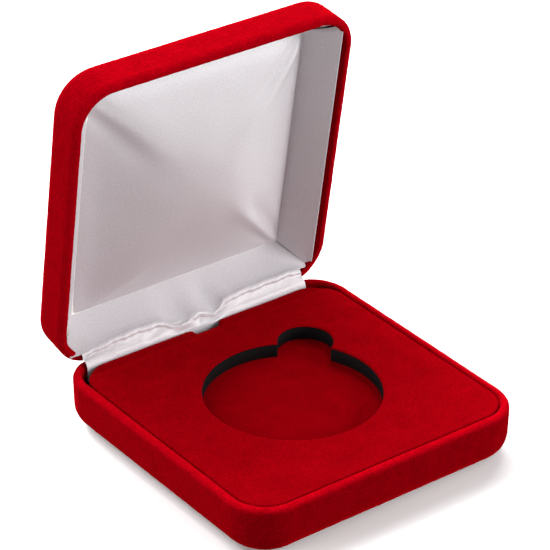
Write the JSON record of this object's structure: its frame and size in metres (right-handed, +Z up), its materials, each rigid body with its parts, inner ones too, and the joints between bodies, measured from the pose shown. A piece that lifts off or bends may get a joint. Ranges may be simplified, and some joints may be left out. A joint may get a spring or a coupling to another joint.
{
  "type": "presentation box",
  "caption": "Square flocked presentation box with a padded satin lid on a sprung hinge and a foam-backed velvet insert with a round recess and finger notch.",
  "frame": {"origin": "middle of the flat underside of the base", "axes": "+X along the hinge, +Y to the hinge at the back, +Z up; the front is at -Y"},
  "size_m": [0.086, 0.0965, 0.0984],
  "materials": {
    "red_flock": "deep red rayon flock on a moulded shell, soft sheen along its edges",
    "red_velvet": "deep red short-pile velvet",
    "black_foam": "fine closed-cell foam, cut edge",
    "white_foam": "packing foam",
    "greyboard": "uncoated board",
    "wadding": "polyester wadding",
    "satin": "white acetate satin, soft sheen",
    "steel": "nickel-plated sheet and wire"
  },
  "bodies": {
    "base": {"base_shell": "red_flock", "floor_foam": "white_foam", "floor_card": "greyboard", "floor_velvet": "red_velvet", "insert_foam": "black_foam", "insert_velvet": "red_velvet", "hinge_leaf_base": "steel", "hinge_pin": "steel", "hinge_spring": "steel", "satin_hinge_flap": "satin"},
    "lid": {"lid_shell": "red_flock", "lining_card": "greyboard", "lining_wadding": "wadding", "lining_satin": "satin", "hinge_leaf_lid": "steel"}
  },
  "joints": [
    {"name": "lid_hinge", "type": "hinge", "parent": "base", "child": "lid", "pos_m": [0, 0.0413, 0.01405], "axis": [1, 0, 0], "range_deg": [0, 81], "deforming": ["satin_hinge_flap", "hinge_spring"]}
  ]
}
